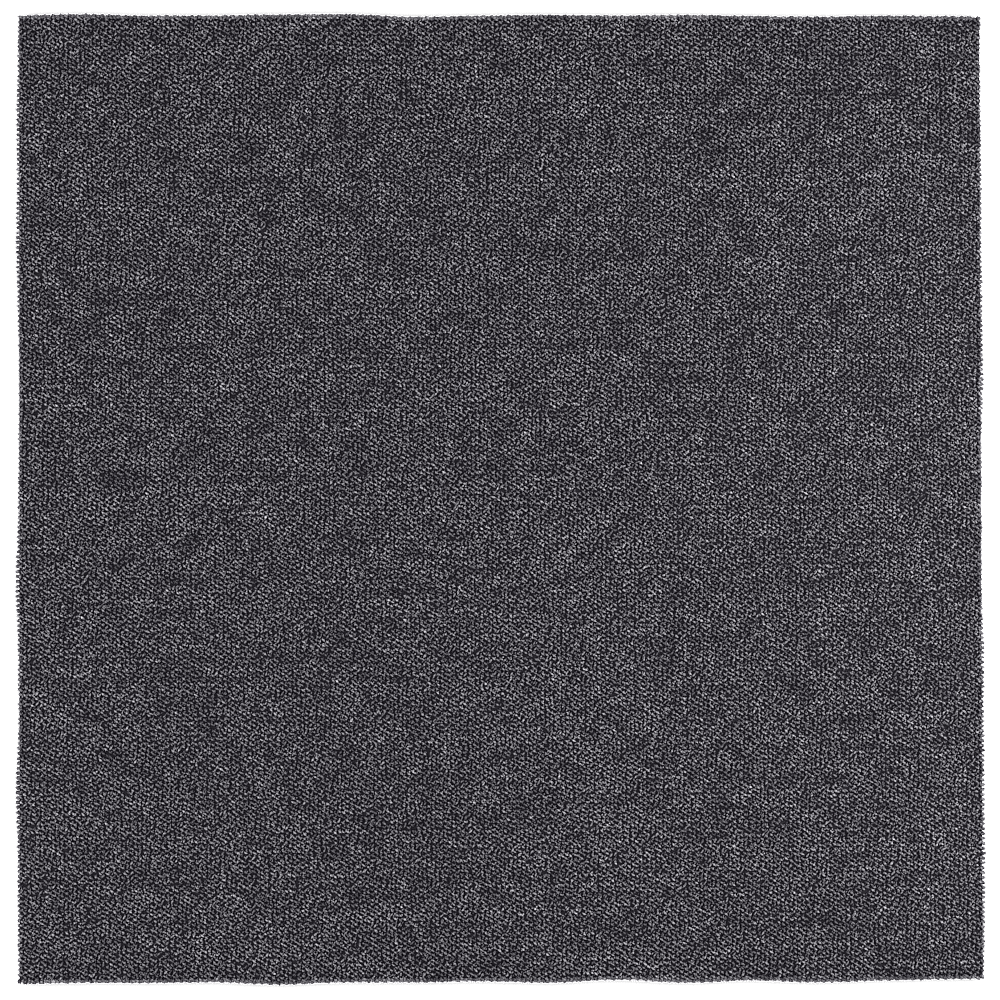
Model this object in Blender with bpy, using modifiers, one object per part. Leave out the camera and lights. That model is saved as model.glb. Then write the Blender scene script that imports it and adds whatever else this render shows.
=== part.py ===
"""Loop-pile carpet tile: a die-cut backing slab that carries a mat of tufted yarn loops.

Metres, +Z up. The origin is the centre of the underside, which lies on the floor. X runs along
the tufted rows and Y runs across them, in the plane of the floor.
"""

import bpy

# Driving dimensions
TILE_LENGTH = 0.500          # along the tufted rows
TILE_WIDTH = 0.500           # across the tufted rows
BACKING_THICKNESS = 0.0030   # bitumen compound, glass fleece and the fabric that the yarn is tufted through
PILE_HEIGHT = 0.0027         # from the foot of the loops to their crowns
SEAT_GAP = 0.0003            # clearance between the backing and the foot of the pile

# The knife leaves the backing sharp, and the outermost loops lean over the edge
CUT_EDGE_BREAK = 0.0002      # break along every edge of the backing
PILE_RIM_RADIUS = 0.0012     # rounding of the crowns along the rim of the pile
PILE_CORNER_RADIUS = 0.0015  # rounding of the pile's four upright corners, seen from above
RIM_SEGMENTS = 4             # facets in each rounding of the pile

# Finishes: colour, roughness and metallic value
BITUMEN = ((0.020, 0.020, 0.021), 0.85, 0.0)
LOOP_YARN = ((0.060, 0.056, 0.064), 0.95, 0.0)


def clear_scene():
    """Removes whatever the file opened with."""
    for obj in list(bpy.data.objects):
        bpy.data.objects.remove(obj, do_unlink=True)


def tile_collection():
    """The collection that holds the tile's pieces."""
    collection = bpy.data.collections.new("carpet_tile")
    bpy.context.scene.collection.children.link(collection)
    return collection


def finish(name, look):
    """A Principled material with the given colour, roughness and metallic value."""
    colour, roughness, metallic = look
    material = bpy.data.materials.new(name)
    material.use_nodes = True
    shader = material.node_tree.nodes["Principled BSDF"]
    shader.inputs["Base Color"].default_value = (*colour, 1.0)
    shader.inputs["Roughness"].default_value = roughness
    shader.inputs["Metallic"].default_value = metallic
    return material


def slab(name, underside, thickness, collection):
    """A flat slab of the tile's outline, whose underside lies at that height."""
    bpy.ops.mesh.primitive_cube_add(size=1.0)
    obj = bpy.context.active_object
    obj.name = name
    obj.data.name = name
    obj.scale = (TILE_LENGTH, TILE_WIDTH, thickness)
    bpy.ops.object.transform_apply(location=False, rotation=False, scale=True)
    obj.location.z = underside + thickness / 2
    for holder in list(obj.users_collection):
        holder.objects.unlink(obj)
    collection.objects.link(obj)
    return obj


def weighted_edges(obj, chosen):
    """Marks the edges that a Bevel modifier rounds, by a test on an edge's two corners."""
    corners = obj.data.vertices
    weights = obj.data.attributes.new("bevel_weight_edge", "FLOAT", "EDGE")
    for edge in obj.data.edges:
        first, second = (corners[index].co for index in edge.vertices)
        weights.data[edge.index].value = 1.0 if chosen(first, second) else 0.0


def bevel(obj, name, width, segments, limit):
    """Adds a Bevel modifier.

    It isn't clamped, because the facets of a rounded corner are shorter than the rim's radius.
    """
    modifier = obj.modifiers.new(name, "BEVEL")
    modifier.width = width
    modifier.segments = segments
    modifier.limit_method = limit
    modifier.use_clamp_overlap = False
    return modifier


def backing(collection):
    """The heavy backing: one laminated slab, knife-cut on its four sides."""
    obj = slab("backing", 0.0, BACKING_THICKNESS, collection)
    bevel(obj, "knife_edge", CUT_EDGE_BREAK, 1, "ANGLE")
    obj.data.materials.append(finish("bitumen", BITUMEN))
    return obj


def loop_pile(collection):
    """The mat of loops: a slab up to the crowns, with rounded corners and a rounded rim."""
    foot = BACKING_THICKNESS + SEAT_GAP
    obj = slab("loop_pile", foot, PILE_HEIGHT, collection)
    weighted_edges(obj, lambda first, second: first.z != second.z)
    bevel(obj, "upright_corners", PILE_CORNER_RADIUS, RIM_SEGMENTS, "WEIGHT")
    rim = obj.vertex_groups.new(name="crowns")
    rim.add([v.index for v in obj.data.vertices if v.co.z > 0], 1.0, "REPLACE")
    rounding = bevel(obj, "rim", PILE_RIM_RADIUS, RIM_SEGMENTS, "VGROUP")
    rounding.vertex_group = rim.name
    obj.data.materials.append(finish("loop_yarn", LOOP_YARN))
    return obj


def main():
    clear_scene()
    collection = tile_collection()
    backing(collection)
    loop_pile(collection)


main()
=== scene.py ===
"""Looks of a loop-pile carpet tile: every tufted loop as geometry, the fabric that the yarn is sewn
through, the finish of the heavy backing, and a white studio with the camera straight above.

Metres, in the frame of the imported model: X along the tufted rows, Y across them, +Z out of the pile.
"""

import math

import bpy
import numpy as np
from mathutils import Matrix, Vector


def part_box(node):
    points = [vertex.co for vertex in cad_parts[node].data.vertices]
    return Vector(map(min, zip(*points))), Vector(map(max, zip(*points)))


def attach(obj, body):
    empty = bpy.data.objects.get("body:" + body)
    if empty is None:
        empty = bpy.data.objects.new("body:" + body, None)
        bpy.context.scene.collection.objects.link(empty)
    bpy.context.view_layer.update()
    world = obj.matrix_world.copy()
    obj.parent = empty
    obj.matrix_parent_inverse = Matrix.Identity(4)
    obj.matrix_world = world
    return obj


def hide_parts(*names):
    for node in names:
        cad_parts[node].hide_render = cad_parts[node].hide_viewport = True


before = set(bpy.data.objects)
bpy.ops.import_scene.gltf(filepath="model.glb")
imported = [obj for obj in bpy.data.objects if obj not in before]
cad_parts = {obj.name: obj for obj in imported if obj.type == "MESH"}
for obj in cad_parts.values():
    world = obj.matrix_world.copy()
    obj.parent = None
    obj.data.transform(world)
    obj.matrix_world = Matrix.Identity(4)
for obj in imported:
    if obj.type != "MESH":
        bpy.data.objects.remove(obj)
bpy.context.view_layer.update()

# The tile, from the frame
_, BACKING_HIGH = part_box("backing")
PILE_LOW, PILE_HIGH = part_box("loop_pile")
HALF_X = BACKING_HIGH.x
HALF_Y = BACKING_HIGH.y
BACKING_TOP = BACKING_HIGH.z
FABRIC_OVERLAP = 0.0001            # the fabric fills the seat gap, and this much more
FOOT_DEPTH = 0.00015               # how deep the yarn goes into the fabric
FABRIC_TOP = PILE_LOW.z + FABRIC_OVERLAP
FOOT = FABRIC_TOP - FOOT_DEPTH
CROWN = PILE_HIGH.z                # the level of the highest loops

SEED = 20260

# Tufting: ten rows and twelve stitches to the inch, sewn in a zigzag
ROWS = 197
STITCHES = 237                     # loops in a row
ZIGZAG = 0.00047                   # how far a loop lies to either side of its row's middle
ROW_MARGIN = 0.0008                # from the middle of an outermost row to the tile's side
YARN_LEAN = math.radians(-33)      # the way that the crowns lie, seen from above
ROWS_IN_BAND = 40                  # rows that share one mesh
LOOP_DRIFT = 0.0003                # how far soft patches of loops are shifted along the lean
DRIFT_SIZE = 0.008                 # width of such a patch

# Strands of the field: a loop shows its crown, a strand in the valley beside it and a stray one
STRANDS = 3                                         # an array has a value for each of them
HALF_LENGTH = 0.00140
HALF_WIDTH = 0.00053
LENGTH_SHARE = np.array([1.42, 0.8, 0.8])
WIDTH_SHARE = np.array([0.95, 0.78, 0.78])
RIDGE = 0.46                                        # share of a strand's length that its ridge takes up
ASIDE = np.array([0.0, 0.00109, 0.0005])            # from the loop's middle, across the lean
ASIDE_SPREAD = np.array([0.00005, 0.0004, 0.0006])
SLIDE_SPREAD = np.array([0.0004, 0.0005, 0.0005])   # from the loop's middle, along the lean
CROSSING = np.array([0.1, 1.0, 1.0])                # share of the strands that lie crosswise
CROSS_TURN = math.radians(90)
LIE = np.radians([-3.0, 0.0, 0.0])                  # turn away from the lean
DROP = np.array([0.0, 0.0006, 0.0003])              # from the highest loops down to the ridge
SIDE_DROP = 0.0004                                  # from a strand's ridge down to its sides
STRAND_INSET = 0.0003                               # from a strand's middle to the tile's side, at least
FOOT_INSET = 0.0004                                 # from a strand's ends to the tile's side, at least

# How much the loops and strands of the field differ
JITTER = 0.00015                   # place of a loop
LOOP_TURN = math.radians(3)
STRAND_TURN = math.radians(5)
SIZE_SPREAD = 0.12                 # a strand's length and width, as a share
LOOP_SINK = 0.00020                # depth below the highest loops
STRAND_SINK = 0.00028
STRAND_TILT = 0.13                 # rise for each unit of length
STRAND_BEND = 0.00008
ROUGHNESS = 0.00004                # place of a single point
SHIFT = 0.05                       # place in the yarn's pattern where a strand starts

# How much the yarn's lightness differs, as a share
LOOP_TONE = 0.20
STRAND_TONE = 0.15
ROW_TONE = 0.044
YARN_TONE = 0.27                   # along one yarn
YARN_TONE_RUN = 3.5                # loops from one tone to the next along a yarn
MOTTLES = ((0.0045, 0.12), (0.020, 0.02), (0.080, 0.02))   # soft patches: width, and share

# Outermost loops: arches of two twisted plies that lean over the tile's sides
PLIES = 2
STATIONS = 8                       # rings of points along a ply
SIDES = 5                          # points in a ring
PLY_RADIUS = 0.0006
RADIUS_SPREAD = 0.08
PLY_OFFSET = 0.00036               # from the yarn's axis to a ply's axis
TWIST = -1.2                       # turns of the plies along an arch
ARCH_HALF_WIDTH = 0.00055
ARCH_SPREAD = 0.15
ALONG_SIDE = 1.35                  # times as wide are the arches whose rows run along the side
ARCH_END = 0.8 * math.pi           # angle from the crown to either foot
ARCH_TURN = math.radians(-20)
ARCH_TURN_SPREAD = math.radians(12)
CUT_SHARE = 0.2                    # share of the loops at the rows' ends that the knife has cut open
CUT_LENGTH = 0.62                  # share of the arch that is left of them
PATTERN_LENGTH = 0.006             # length of yarn in an arch, for the yarn's pattern
ROW_END_LEAN = 0.0009              # how far the loops at the rows' ends lean out
ROW_SIDE_LEAN = 0.0013             # how far the loops of the first and last row lean out
LEAN_SPREAD = 0.00012
LEAN_CURVE = 0.6                   # below 1, a loop leans out more near its foot than near its crown
CROWN_BACK = 0.25                  # share of the lean that the crown doesn't take part in
RIM_EVEN = 0.8                     # share of the zigzag that the lean makes up for
SIDE_WANDER = 0.0007               # slow waves in the line of the tile's sides
WANDER_LENGTH = 0.035
# painted shade: the outermost loops' yarn is made darker by this factor, against the light that their
# exposed sides catch
EDGE_SHADE_TONE = 0.9
EDGE_SHADE_DEPTH = 0.0003                # painted shade: the outermost loops are painted as dark as loops that lie this much deeper

# Primary fabric
FABRIC_STEPS = 30
FABRIC_INSET = 0.0001              # from its cut edge to the tile's side, at least
FABRIC_WANDER = 0.0001             # and up to this much more

# Finishes; a scale is a pattern's cells to the metre along each axis, or along and across a strand
YARN_COLOUR = (0.1275, 0.1272, 0.130)
# painted shade: a dark colour that stands in for the shade at the foot of the pile
FOOT_SHADE_COLOUR = (0.007, 0.0055, 0.012)
PAINTED_SHADE_LOW = 0.0008                 # painted shade: height over the fabric up to which yarn is dark
PAINTED_SHADE_HIGH = 0.0024                # height from which it has its own colour, free of painted shade
# flecks in the yarn's colour: partly its mottled tone, partly painted shade and highlight of its plies and
# fibre bundles
FLECK_SCALE = (1200.0, 300.0, 300.0)
FLECK_EDGE = 0.35                  # noise up to here is a dark fleck, and from 1 less this on a light one
FLECK_AND_PLY_SHADE = 0.4
FLECK_AND_PLY_HIGHLIGHT = 1.6
FILAMENT_SCALE = (700.0, 5000.0, 5000.0)
FILAMENT_TURN = math.radians(28)
FABRIC_COLOUR = (0.009, 0.0085, 0.010)
WARP_SCALE = (1100.0, 90.0, 400.0)
WEFT_SCALE = (90.0, 1100.0, 400.0)
BITUMEN_COLOUR = (0.020, 0.020, 0.021)
GLASS_COLOUR = (0.10, 0.10, 0.098)
FLEECE_COLOUR = (0.055, 0.055, 0.058)
FLEECE_FULL = 0.0001               # height up to which the bottom fleece hides the compound
FLEECE_END = 0.0005                # height from which none of it shows
STROKE_SCALE = (2600.0, 2600.0, 180.0)
GRAIN_SCALE = (900.0, 900.0, 900.0)
FIBRE_SCALE = (380.0, 2600.0, 2600.0)
FIBRE_TURN = math.radians(35)
GLASS_LEVEL = 0.0016               # height of the glass fleece
GLASS_HALF = 0.00012               # half its thickness

# Studio and camera
FLOOR_SIZE = 12.0
FLOOR_GAP = 0.0001                 # keeps the floor out of the plane of the tile's underside
FLOOR_COLOUR = (0.92, 0.92, 0.92, 1.0)
CAMERA_PLACE = (-0.02768, -0.01602, 1.50504)
CAMERA_TURN = (0.5722, -1.022, -0.1219)   # degrees
SENSOR_WIDTH = 36.0                # millimetres
LENS = 104.06                      # millimetres

# Picture
FILTER_WIDTH = 1.4                 # pixels
SHARPEN = 0.067
VEIL = (0.005, 0.0, 0.0135, 0.0)   # slight violet, added to the tile in the encoded picture
ENCODING = 2.2
FLOOR_LEVEL = 0.8                  # what is lighter than this is floor
TILE_GREY = (0.28, 0.27, 0.29, 1.0)   # the tile's mean colour in the encoded picture


def rng(stream):
    """A seeded source of random numbers for one sub-part."""
    return np.random.default_rng(SEED + stream)


def smooth_noise(x, y, size, draw):
    """Random values a cell apart over the tile, blended smoothly between the cells."""
    outside = 1.02   # where the cells start, in halves of the tile
    span = 2.1       # how far they reach, in the same unit
    spread = 1.5     # before the blend, which lowers it to about 1
    cells = int(span * max(HALF_X, HALF_Y) / size) + 3
    grid = draw.normal(0.0, spread, (cells, cells))
    u = (x + outside * HALF_X) / size
    v = (y + outside * HALF_Y) / size
    i = u.astype(int)
    j = v.astype(int)
    s = (u - i) ** 2 * (3 - 2 * (u - i))
    t = (v - j) ** 2 * (3 - 2 * (v - j))
    near = grid[i, j] * (1 - s) + grid[i + 1, j] * s
    far = grid[i, j + 1] * (1 - s) + grid[i + 1, j + 1] * s
    return near * (1 - t) + far * t


# Mesh helpers

def mesh_object(name, points, triangles, floats=(), vectors=(), bake_uv=None):
    """A smooth mesh of triangles with named values on its points."""
    mesh = bpy.data.meshes.new(name)
    mesh.vertices.add(len(points))
    mesh.vertices.foreach_set("co", points.astype(np.float32).ravel())
    mesh.loops.add(3 * len(triangles))
    mesh.loops.foreach_set("vertex_index", triangles.astype(np.int32).ravel())
    mesh.polygons.add(len(triangles))
    mesh.polygons.foreach_set("loop_start", np.arange(0, 3 * len(triangles), 3, dtype=np.int32))
    mesh.update(calc_edges=True)
    mesh.shade_smooth()
    for label, values in floats:
        attribute = mesh.attributes.new(label, "FLOAT", "POINT")
        attribute.data.foreach_set("value", values.astype(np.float32).ravel())
    for label, values in vectors:
        attribute = mesh.attributes.new(label, "FLOAT_VECTOR", "POINT")
        attribute.data.foreach_set("vector", values.astype(np.float32).ravel())
    if bake_uv is not None:
        layer = mesh.uv_layers.new(name="OFBake")
        layer.uv.foreach_set("vector", bake_uv.astype(np.float32).ravel())
    obj = bpy.data.objects.new(name, mesh)
    bpy.context.scene.collection.objects.link(obj)
    return obj


def copies_of(triangles, points_each, count):
    """The triangles of one template, repeated for that many copies."""
    start = points_each * np.arange(count)[:, None, None]
    return (triangles[None, :, :] + start).reshape(-1, 3)


def bake_cells(corners, count):
    """Texture places for that many copies of a template, each in its own cell of a square grid."""
    margin = 0.06
    side = math.ceil(math.sqrt(count))
    number = np.arange(count)
    cell = np.stack([number % side, number // side], axis=1)[:, None, None, :]
    return (cell + margin + (1 - 2 * margin) * corners[None]) / side


# Loops of the field

def strand_template():
    """Points (along, across, level) and triangles of one strand: a ridge between two ends.

    Level 1 is the ridge, level 0.5 the two sides and level 0 the ends, which stand in the fabric.
    """
    points = [(-1.0, 0.0, 0.0), (1.0, 0.0, 0.0), (0.0, -1.0, 0.5), (0.0, 1.0, 0.5),
              (-RIDGE, 0.0, 1.0), (RIDGE, 0.0, 1.0)]
    faces = [(0, 2, 4), (0, 4, 3), (4, 2, 5), (4, 5, 3), (1, 5, 2), (1, 3, 5)]
    return np.array(points), np.array(faces)


def loop_grid():
    """Middle of every loop, and its row and stitch number."""
    row, stitch = np.meshgrid(np.arange(ROWS), np.arange(STITCHES), indexing="ij")
    side = 1 - 2 * (stitch % 2)
    x = -HALF_X + (stitch + 0.5) * 2 * HALF_X / STITCHES
    outermost = HALF_Y - ROW_MARGIN
    y = outermost - row * 2 * outermost / (ROWS - 1) + side * ZIGZAG
    return x, y, row, stitch


def loop_tones(x, y, row):
    """How light each loop's yarn is: by row, by loop, along each yarn and in soft patches."""
    draw = rng(1)
    tone = draw.normal(0.0, ROW_TONE, ROWS)[row] + draw.normal(0.0, LOOP_TONE, x.shape)
    steps = int(STITCHES / YARN_TONE_RUN) + 2
    place = np.arange(STITCHES) / YARN_TONE_RUN
    for number in range(ROWS):
        start = draw.uniform(0.0, 1.0)
        tones = draw.normal(0.0, YARN_TONE, steps)
        tone[number] += np.interp(place + start, np.arange(steps), tones)
    for size, strength in MOTTLES:
        tone += strength * smooth_noise(x, y, size, draw)
    return 1 + np.tanh(tone)


def within(place, half):
    """The place, moved so that it isn't further than half from the middle."""
    return np.clip(place, -half, half)


def field_loops(name, x, y, tone, draw):
    """A band of loops as one mesh: each loop is three strands with their own size, height and lie."""
    template, triangles = strand_template()
    loops = len(x)
    count = STRANDS * loops

    def spread(size):
        """Random values, one for each strand."""
        return draw.normal(0.0, size, count)[:, None]

    def per_loop(size):
        """Random values, one for each loop and shared by its strands."""
        return np.repeat(draw.normal(0.0, size, loops), STRANDS)[:, None]

    def by_strand(values):
        """The three values, once for each loop."""
        return np.tile(values, loops)[:, None]

    turn = YARN_LEAN + per_loop(LOOP_TURN) + spread(STRAND_TURN)
    slide = spread(1.0) * by_strand(SLIDE_SPREAD)
    aside = by_strand(ASIDE) + spread(1.0) * by_strand(ASIDE_SPREAD)
    loop_x = np.repeat(x, STRANDS)[:, None] + per_loop(JITTER)
    loop_y = np.repeat(y, STRANDS)[:, None] + per_loop(JITTER)
    middle_x = within(loop_x + slide * np.cos(turn) - aside * np.sin(turn), HALF_X - STRAND_INSET)
    middle_y = within(loop_y + slide * np.sin(turn) + aside * np.cos(turn), HALF_Y - STRAND_INSET)
    crosses = draw.uniform(0.0, 1.0, count)[:, None] < by_strand(CROSSING)
    lie = turn + by_strand(LIE) + np.where(crosses, CROSS_TURN, 0.0)

    along, across, level = template.T
    a = along * HALF_LENGTH * (1 + spread(SIZE_SPREAD)) * by_strand(LENGTH_SHARE)
    b = across * HALF_WIDTH * (1 + spread(SIZE_SPREAD)) * by_strand(WIDTH_SHARE)
    bent = b + spread(STRAND_BEND) * (1 - 2 * np.abs(along))
    top = CROWN - np.abs(per_loop(LOOP_SINK)) - np.abs(spread(STRAND_SINK)) - by_strand(DROP)
    body = top - np.where(level == 1.0, 0.0, SIDE_DROP) + spread(STRAND_TILT) * a
    px = middle_x + a * np.cos(lie) - bent * np.sin(lie)
    py = middle_y + a * np.sin(lie) + bent * np.cos(lie)
    px = np.where(level > 0.0, px, within(px, HALF_X - FOOT_INSET))
    py = np.where(level > 0.0, py, within(py, HALF_Y - FOOT_INSET))
    pz = np.where(level > 0.0, body + draw.normal(0.0, ROUGHNESS, body.shape), FOOT)
    points = np.stack([px, py, pz], axis=2)

    along_yarn = a + draw.uniform(0.0, SHIFT, count)[:, None]
    # the third value, height over the fabric, sets how much painted shade the yarn gets at the foot of the
    # pile
    strand = np.stack([along_yarn, b, pz - FABRIC_TOP], axis=2)
    tones = np.repeat(tone, STRANDS) * np.exp(draw.normal(0.0, STRAND_TONE, count))
    corners = 0.5 + 0.5 * template[triangles][:, :, :2]
    return mesh_object(
        name, points.reshape(-1, 3), copies_of(triangles, len(template), count),
        floats=[("tone", np.repeat(tones, len(template)))], vectors=[("strand", strand.reshape(-1, 3))],
        bake_uv=bake_cells(corners, count))


def on_rim(row, stitch):
    """Which loops are outermost."""
    return (row == 0) | (row == ROWS - 1) | (stitch == 0) | (stitch == STITCHES - 1)


def dress_as_yarn(piece, yarn):
    """Gives a piece the yarn's finish, hangs it on the root and hides the CAD pile that it stands in for.
    """
    piece.data.materials.append(yarn)
    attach(piece, "root")
    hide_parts("loop_pile")


def tufts(yarn):
    """Every loop of the pile, in bands of rows."""
    x, y, row, _ = loop_grid()
    tone = loop_tones(x, y, row)
    drift = LOOP_DRIFT * smooth_noise(x, y, DRIFT_SIZE, rng(4))
    x = x + drift * math.cos(YARN_LEAN)
    y = y + drift * math.sin(YARN_LEAN)
    pieces = []
    for number, first in enumerate(range(0, ROWS, ROWS_IN_BAND), start=1):
        chosen = (row >= first) & (row < first + ROWS_IN_BAND)
        piece = field_loops(f"tuft_rows_{number}", x[chosen], y[chosen], tone[chosen], rng(10 + number))
        dress_as_yarn(piece, yarn)
        pieces.append(piece)
    return pieces


# Outermost loops

def tube_triangles():
    """Triangles of one ply, a closed tube of rings, and the texture places of their corners.

    The wall takes up most of the texture's width, and the two round ends share a strip beside it.
    """
    wall = 0.9
    end_place = 0.96
    end_width = 0.04
    end_height = 0.2
    triangles = []
    corners = []
    for i in range(STATIONS - 1):
        for j in range(SIDES):
            k = (j + 1) % SIDES
            low, high = i * SIDES, (i + 1) * SIDES
            u0, u1 = wall * i / (STATIONS - 1), wall * (i + 1) / (STATIONS - 1)
            v0, v1 = j / SIDES, (j + 1) / SIDES
            triangles += [(low + j, high + j, high + k), (low + j, high + k, low + k)]
            corners += [((u0, v0), (u1, v0), (u1, v1)), ((u0, v0), (u1, v1), (u0, v1))]
    last = (STATIONS - 1) * SIDES
    for j in range(1, SIDES - 1):
        triangles += [(0, j, j + 1), (last, last + j + 1, last + j)]
        for place in (0.0, 0.5):
            angles = [2 * math.pi * n / SIDES for n in (0, j, j + 1)]
            corners.append(tuple((end_place + end_width * math.cos(a),
                                  place + end_height + end_height * math.sin(a)) for a in angles))
    return np.array(triangles), np.array(corners)


def edge_tufts(yarn):
    """The outermost loops, whose sides show: two-ply arches, some of them cut open by the knife."""
    x, y, row, stitch = loop_grid()
    tone = loop_tones(x, y, row)
    rim = on_rim(row, stitch)
    x, y, row, stitch, tone = (values[rim] for values in (x, y, row, stitch, tone))
    loops = len(x)
    draw = rng(2)
    out_x = np.where(stitch == STITCHES - 1, 1.0, 0.0) - np.where(stitch == 0, 1.0, 0.0)
    out_y = np.where(row == 0, 1.0, 0.0) - np.where(row == ROWS - 1, 1.0, 0.0)
    wander = SIDE_WANDER * smooth_noise(x, y, WANDER_LENGTH, draw)
    lean_x = ROW_END_LEAN + wander + draw.normal(0.0, LEAN_SPREAD, loops)
    zigzag = ZIGZAG * out_y * (1 - 2 * (stitch % 2))
    lean_y = ROW_SIDE_LEAN - RIM_EVEN * zigzag + wander + draw.normal(0.0, LEAN_SPREAD, loops)
    cut = (np.abs(out_x) > 0) & (draw.uniform(0.0, 1.0, loops) < CUT_SHARE)

    def per_ply(values):
        """The loops' values, repeated for each of their plies."""
        return np.repeat(values, PLIES)[:, None, None]

    count = PLIES * loops
    t = np.linspace(0.0, 1.0, STATIONS)[None, :, None]
    angle = ARCH_END * (-1 + 2 * t * np.where(per_ply(cut), CUT_LENGTH, 1.0))
    wide = np.where(np.abs(out_y) > 0, ALONG_SIDE, 1.0)
    half_width = per_ply(ARCH_HALF_WIDTH * wide * (1 + draw.normal(0.0, ARCH_SPREAD, loops)))
    yarn_radius = PLY_RADIUS + PLY_OFFSET
    height = per_ply(CROWN - yarn_radius - FOOT - np.abs(draw.normal(0.0, LOOP_SINK, loops)))
    rise = height / (1 - math.cos(ARCH_END))
    axis_a = half_width * np.sin(angle)
    axis_z = rise * (np.cos(angle) - math.cos(ARCH_END))
    run_a = half_width * np.cos(angle)
    run_z = -rise * np.sin(angle)
    norm = np.hypot(run_a, run_z)
    normal_a = -run_z / norm
    normal_z = run_a / norm

    opposite = np.tile([0.0, math.pi], loops)[:, None, None]
    start = per_ply(draw.uniform(0.0, 2 * math.pi, loops)) + opposite
    spiral = start + 2 * math.pi * TWIST * t
    round_ply = 2 * math.pi * np.arange(SIDES)[None, None, :] / SIDES
    radius = PLY_RADIUS * (1 + draw.normal(0.0, RADIUS_SPREAD, count))[:, None, None]
    outward = PLY_OFFSET * np.cos(spiral) + radius * np.cos(round_ply)
    lateral = PLY_OFFSET * np.sin(spiral) + radius * np.sin(round_ply)
    a = axis_a + outward * normal_a
    pz = FOOT + axis_z + outward * normal_z
    yaw = per_ply(ARCH_TURN + draw.normal(0.0, ARCH_TURN_SPREAD, loops))
    share = np.clip((pz - FOOT) / (CROWN - FOOT), 0.0, None)
    lean = share ** LEAN_CURVE * (1 - CROWN_BACK * share ** 2)
    px = per_ply(x) + a * np.cos(yaw) - lateral * np.sin(yaw) + lean * per_ply(out_x * lean_x)
    py = per_ply(y) + a * np.sin(yaw) + lateral * np.cos(yaw) + lean * per_ply(out_y * lean_y)
    points = np.stack([px, py, pz], axis=3) + draw.normal(0.0, ROUGHNESS, (*px.shape, 3))

    flat = np.zeros_like(px)
    along = PATTERN_LENGTH * t + draw.uniform(0.0, SHIFT, count)[:, None, None] + flat
    across = PLY_RADIUS * np.sin(round_ply) + flat
    # painted shade: the outermost loops' height for the foot shade is set lower, so they are painted darker
    strand = np.stack([along, across, pz - FABRIC_TOP - EDGE_SHADE_DEPTH], axis=3)
    # painted shade: the outermost loops' tone is darkened by the edge factor
    tones = EDGE_SHADE_TONE * np.repeat(tone, PLIES) * np.exp(draw.normal(0.0, STRAND_TONE, count))
    triangles, corners = tube_triangles()
    piece = mesh_object(
        "edge_tufts", points.reshape(-1, 3), copies_of(triangles, STATIONS * SIDES, count),
        floats=[("tone", np.repeat(tones, STATIONS * SIDES))], vectors=[("strand", strand.reshape(-1, 3))],
        bake_uv=bake_cells(corners, count))
    dress_as_yarn(piece, yarn)
    return piece


# Primary fabric

def primary_fabric():
    """The woven fabric that the yarn is sewn through: one thin sheet whose cut edge wanders a little."""
    line = np.linspace(-1.0, 1.0, FABRIC_STEPS + 1)
    u, v = np.meshgrid(line, line, indexing="ij")
    draw = rng(3)
    inset = FABRIC_INSET + FABRIC_WANDER * draw.uniform(0.0, 1.0, (2, *u.shape))
    x = u * HALF_X - np.where(np.abs(u) == 1, u, 0) * inset[0]
    y = v * HALF_Y - np.where(np.abs(v) == 1, v, 0) * inset[1]
    faces = [np.stack([x, y, np.full_like(x, z)], axis=2).reshape(-1, 3) for z in (BACKING_TOP, FABRIC_TOP)]
    points = np.concatenate(faces)
    number = np.arange(u.size).reshape(u.shape)
    a, b, c, d = (number[:-1, :-1], number[1:, :-1], number[1:, 1:], number[:-1, 1:])
    top = np.concatenate([np.stack(three, axis=2).reshape(-1, 3) for three in ((a, b, c), (a, c, d))])
    above = len(faces[0])
    ring = np.concatenate([number[:-1, 0], number[-1, :-1], number[:0:-1, -1], number[0, :0:-1]])
    after = np.roll(ring, -1)
    wall = np.concatenate([np.stack([ring, after, after + above], axis=1),
                           np.stack([ring, after + above, ring + above], axis=1)])
    triangles = np.concatenate([top + above, top[:, ::-1], wall])
    piece = mesh_object("primary_fabric", points, triangles)
    piece.data.shade_flat()
    piece.data.materials.append(fabric_material())
    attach(piece, "root")
    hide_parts("loop_pile")


# Materials

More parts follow.
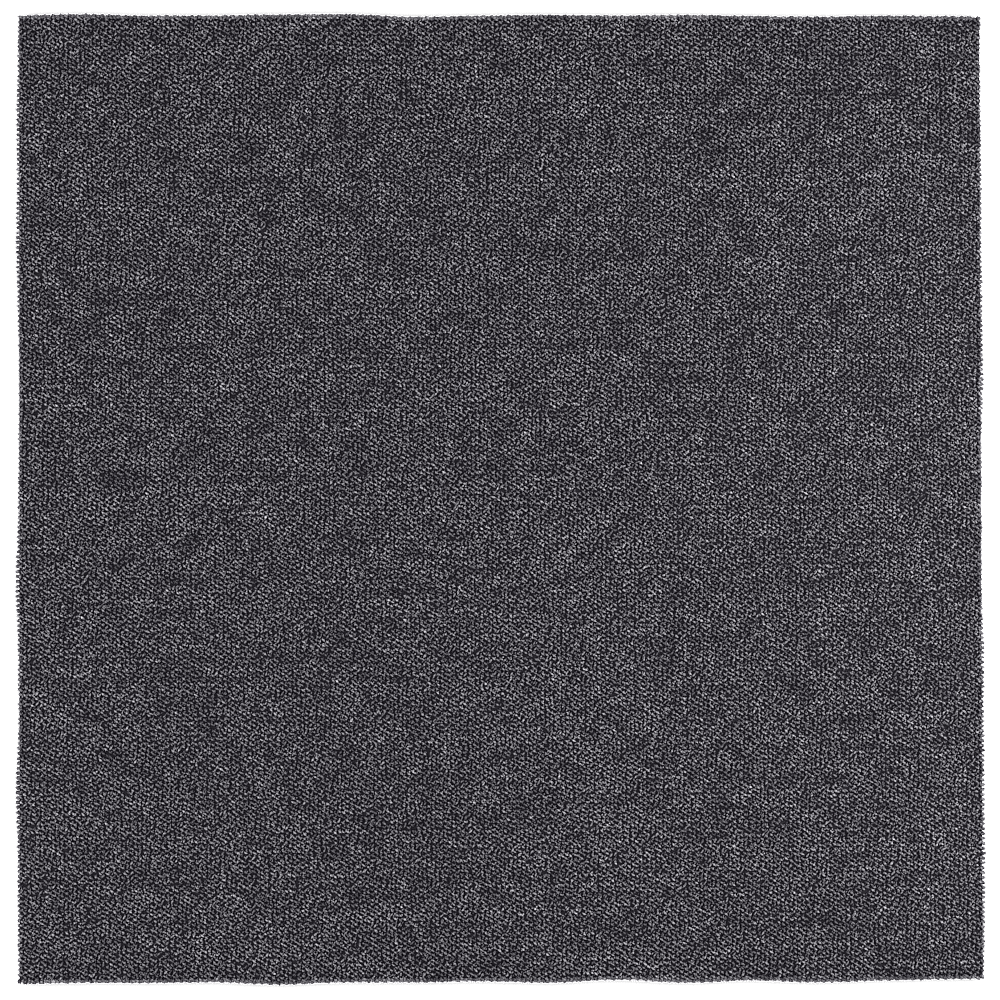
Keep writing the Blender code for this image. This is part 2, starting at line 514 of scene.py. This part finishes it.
class Shading:
    """A new Principled material and short ways to add the nodes that it needs."""

    def __init__(self, name):
        self.material = bpy.data.materials.new(name)
        self.material.use_nodes = True
        self.nodes = self.material.node_tree.nodes
        self.links = self.material.node_tree.links
        self.shader = self.nodes["Principled BSDF"]

    def plug(self, source, socket):
        """Links an output to a socket, or sets the socket's value."""
        if isinstance(source, bpy.types.NodeSocket):
            self.links.new(source, socket)
        else:
            socket.default_value = source

    def attribute(self, name, output):
        """One of the mesh's named values."""
        node = self.nodes.new("ShaderNodeAttribute")
        node.attribute_name = name
        return node.outputs[output]

    def object_place(self):
        """The place on the object, in metres."""
        return self.nodes.new("ShaderNodeTexCoord").outputs["Object"]

    def noise(self, place, scale, detail=2.0, turn=0.0):
        """Noise from 0 to 1, stretched by a scale for each axis, after a turn about Z."""
        mapping = self.nodes.new("ShaderNodeMapping")
        mapping.inputs["Scale"].default_value = scale
        mapping.inputs["Rotation"].default_value = (0.0, 0.0, turn)
        self.links.new(place, mapping.inputs["Vector"])
        noise = self.nodes.new("ShaderNodeTexNoise")
        noise.inputs["Scale"].default_value = 1.0
        noise.inputs["Detail"].default_value = detail
        self.links.new(mapping.outputs["Vector"], noise.inputs["Vector"])
        return noise.outputs["Fac"]

    def remap(self, value, old, new):
        """The value moved from the old range to the new one, and kept in it."""
        node = self.nodes.new("ShaderNodeMapRange")
        self.links.new(value, node.inputs["Value"])
        node.inputs["From Min"].default_value = old[0]
        node.inputs["From Max"].default_value = old[1]
        node.inputs["To Min"].default_value = new[0]
        node.inputs["To Max"].default_value = new[1]
        return node.outputs["Result"]

    def math(self, operation, first, second=0.0):
        """The result of a sum or other operation on two numbers."""
        node = self.nodes.new("ShaderNodeMath")
        node.operation = operation
        self.plug(first, node.inputs[0])
        self.plug(second, node.inputs[1])
        return node.outputs["Value"]

    def height_of(self, vector):
        """A vector's third number."""
        node = self.nodes.new("ShaderNodeSeparateXYZ")
        self.links.new(vector, node.inputs["Vector"])
        return node.outputs["Z"]

    def scaled(self, colour, factor):
        """A colour made lighter or darker."""
        node = self.nodes.new("ShaderNodeVectorMath")
        node.operation = "SCALE"
        self.plug(colour, node.inputs[0])
        self.plug(factor, node.inputs["Scale"])
        return node.outputs["Vector"]

    def mix(self, factor, first, second):
        """The first colour at 0, the second at 1."""
        node = self.nodes.new("ShaderNodeMix")
        node.data_type = "RGBA"
        self.plug(factor, node.inputs["Factor"])
        for source, name in ((first, "A_Color"), (second, "B_Color")):
            socket = next(s for s in node.inputs if s.identifier == name)
            self.plug(source if isinstance(source, bpy.types.NodeSocket) else (*source, 1.0), socket)
        return next(s for s in node.outputs if s.identifier == "Result_Color")

    def bump(self, height, distance, strength):
        """Fine relief."""
        node = self.nodes.new("ShaderNodeBump")
        node.inputs["Strength"].default_value = strength
        node.inputs["Distance"].default_value = distance
        self.links.new(height, node.inputs["Height"])
        self.links.new(node.outputs["Normal"], self.shader.inputs["Normal"])

    def finish(self, colour, roughness):
        """The finished material."""
        self.plug(colour, self.shader.inputs["Base Color"])
        self.plug(roughness, self.shader.inputs["Roughness"])
        return self.material


def yarn_material():
    """Anthracite yarn: flecked strands with fine filaments, with painted shade that darkens it at the foot
    of the pile. The flecks are partly the yarn's mottled tone, partly painted shade and highlight of its
    plies.
    """
    s = Shading("loop_yarn")
    strand = s.attribute("strand", "Vector")
    tone = s.attribute("tone", "Fac")
    filaments = s.noise(strand, FILAMENT_SCALE, detail=3.0, turn=FILAMENT_TURN)
    blend = s.noise(strand, FLECK_SCALE, detail=1.0)
    # the flecks paint the plies' shade and highlights into the colour, along with the yarn's mottled tone
    flecks_and_ply_shading = s.remap(blend, (FLECK_EDGE, 1.0 - FLECK_EDGE), (FLECK_AND_PLY_SHADE, FLECK_AND_PLY_HIGHLIGHT))
    fine = s.remap(filaments, (0.3, 0.7), (0.8, 1.2))
    factor = s.math("MULTIPLY", s.math("MULTIPLY", tone, flecks_and_ply_shading), fine)
    # painted shade: near the fabric, the yarn's colour goes over to the dark foot colour where the pile
    # shades itself
    painted_foot_shade = s.remap(s.height_of(strand), (PAINTED_SHADE_LOW, PAINTED_SHADE_HIGH), (0.2, 1.0))
    colour = s.mix(painted_foot_shade, FOOT_SHADE_COLOUR, s.scaled(YARN_COLOUR, factor))
    s.bump(filaments, distance=0.0002, strength=0.5)
    return s.finish(colour, roughness=0.6)


def fabric_material():
    """Black woven fabric: warp and weft about a millimetre apart, with uneven threads."""
    s = Shading("primary_fabric")
    place = s.object_place()
    warp = s.noise(place, WARP_SCALE)
    weft = s.noise(place, WEFT_SCALE)
    threads = s.math("MAXIMUM", warp, weft)
    colour = s.scaled(FABRIC_COLOUR, s.remap(threads, (0.4, 0.75), (0.5, 1.8)))
    s.bump(threads, distance=0.0001, strength=0.6)
    return s.finish(colour, roughness=0.9)


def backing_material():
    """Black bitumen compound with the knife's strokes down its cut sides.

    The glass fleece shows as a thin line of threads half way up, the bottom fleece as a greyer skin.
    """
    s = Shading("bitumen_compound")
    place = s.object_place()
    height = s.height_of(place)
    strokes = s.noise(place, STROKE_SCALE, detail=4.0)
    grain = s.noise(place, GRAIN_SCALE, detail=5.0)
    fibres = s.noise(place, FIBRE_SCALE, detail=3.0, turn=FIBRE_TURN)
    relief = s.math("ADD", strokes, grain)
    glass = s.math("LESS_THAN", s.math("ABSOLUTE", s.math("SUBTRACT", height, GLASS_LEVEL)), GLASS_HALF)
    glass_threads = s.math("MULTIPLY", glass, s.remap(fibres, (0.45, 0.6), (0.0, 0.7)))
    skin = s.remap(height, (FLEECE_FULL, FLEECE_END), (1.0, 0.0))
    skin_fibres = s.math("MULTIPLY", skin, s.remap(fibres, (0.35, 0.65), (0.3, 1.0)))
    compound = s.scaled(BITUMEN_COLOUR, s.remap(grain, (0.3, 0.7), (0.6, 1.6)))
    with_glass = s.mix(glass_threads, compound, GLASS_COLOUR)
    colour = s.mix(skin_fibres, with_glass, FLEECE_COLOUR)
    s.bump(relief, distance=0.00012, strength=0.7)
    s.shader.inputs["Specular IOR Level"].default_value = 0.2
    return s.finish(colour, roughness=s.remap(grain, (0.3, 0.7), (0.75, 0.9)))


def backing():
    """The CAD backing keeps its shape and gets its finish."""
    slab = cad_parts["backing"]
    finish = backing_material()
    for slot in slab.material_slots:
        slot.material = finish


# Studio

def studio():
    """White floor, even white light from all round, and a softbox at each side."""
    bpy.ops.mesh.primitive_plane_add(size=FLOOR_SIZE, location=(0.0, 0.0, -FLOOR_GAP))
    floor = bpy.context.active_object
    floor.name = "floor"
    s = Shading("floor_white")
    floor.data.materials.append(s.finish(FLOOR_COLOUR, roughness=0.9))
    world = bpy.data.worlds.new("studio")
    world.use_nodes = True
    sky = world.node_tree.nodes["Background"]
    sky.inputs["Color"].default_value = (1.0, 1.0, 1.0, 1.0)
    sky.inputs["Strength"].default_value = 1.0
    bpy.context.scene.world = world
    softbox("softbox_left", place=(-1.0, 0.0, 0.7), size=1.0, power=10.0)
    softbox("softbox_right", place=(0.6, 0.0, 0.4), size=0.4, power=4.3)


def softbox(name, place, size, power):
    """A square lamp of that many metres and watts, turned to the tile's middle."""
    light = bpy.data.lights.new(name, "AREA")
    light.size = size
    light.energy = power
    lamp = bpy.data.objects.new(name, light)
    lamp.location = place
    lamp.visible_camera = False
    lamp.rotation_mode = "QUATERNION"
    lamp.rotation_quaternion = (-lamp.location).to_track_quat("-Z", "Y")
    bpy.context.scene.collection.objects.link(lamp)


def camera():
    """Straight above the tile, with the photograph's slight tilt."""
    data = bpy.data.cameras.new("camera")
    data.sensor_width = SENSOR_WIDTH
    data.lens = LENS
    obj = bpy.data.objects.new("camera", data)
    obj.location = CAMERA_PLACE
    obj.rotation_euler = [math.radians(a) for a in CAMERA_TURN]
    bpy.context.scene.collection.objects.link(obj)
    bpy.context.scene.camera = obj


def finish_picture():
    """The photograph's sharpening and slight tint, on the tile alone.

    A plain grey takes the floor's place while the tile is sharpened, so that no dark line is drawn
    round the tile.
    """
    scene = bpy.context.scene
    scene.use_nodes = True
    tree = scene.node_tree
    tree.nodes.clear()

    def node(kind, **settings):
        """A new compositor node with these settings."""
        new = tree.nodes.new("CompositorNode" + kind)
        for name, value in settings.items():
            setattr(new, name, value)
        return new

    def gamma(source, power):
        """The source, raised to that power."""
        new = node("Gamma")
        new.inputs[1].default_value = power
        tree.links.new(source, new.inputs[0])
        return new.outputs[0]

    picture = node("RLayers").outputs["Image"]
    light = node("RGBToBW")
    tree.links.new(picture, light.inputs[0])
    floor = node("Math", operation="GREATER_THAN")
    floor.inputs[1].default_value = FLOOR_LEVEL
    tree.links.new(light.outputs[0], floor.inputs[0])
    veil = node("MixRGB", blend_type="ADD")
    veil.inputs[0].default_value = 1.0
    veil.inputs[2].default_value = VEIL
    tree.links.new(gamma(picture, 1 / ENCODING), veil.inputs[1])
    grey = node("MixRGB")
    grey.inputs[2].default_value = TILE_GREY
    tree.links.new(floor.outputs[0], grey.inputs[0])
    tree.links.new(veil.outputs[0], grey.inputs[1])
    crisp = node("Filter", filter_type="SHARPEN")
    crisp.inputs["Fac"].default_value = SHARPEN
    tree.links.new(grey.outputs[0], crisp.inputs["Image"])
    back = node("MixRGB")
    tree.links.new(floor.outputs[0], back.inputs[0])
    tree.links.new(gamma(crisp.outputs[0], ENCODING), back.inputs[1])
    tree.links.new(picture, back.inputs[2])
    tree.links.new(back.outputs[0], node("Composite").inputs[0])


camera()
studio()
backing()
loop_yarn = yarn_material()
pile = tufts(loop_yarn)
pile.append(edge_tufts(loop_yarn))
primary_fabric()

bpy.context.scene.view_settings.view_transform = "Standard"
bpy.context.scene.cycles.use_denoising = False
bpy.context.scene.cycles.filter_width = FILTER_WIDTH
finish_picture()
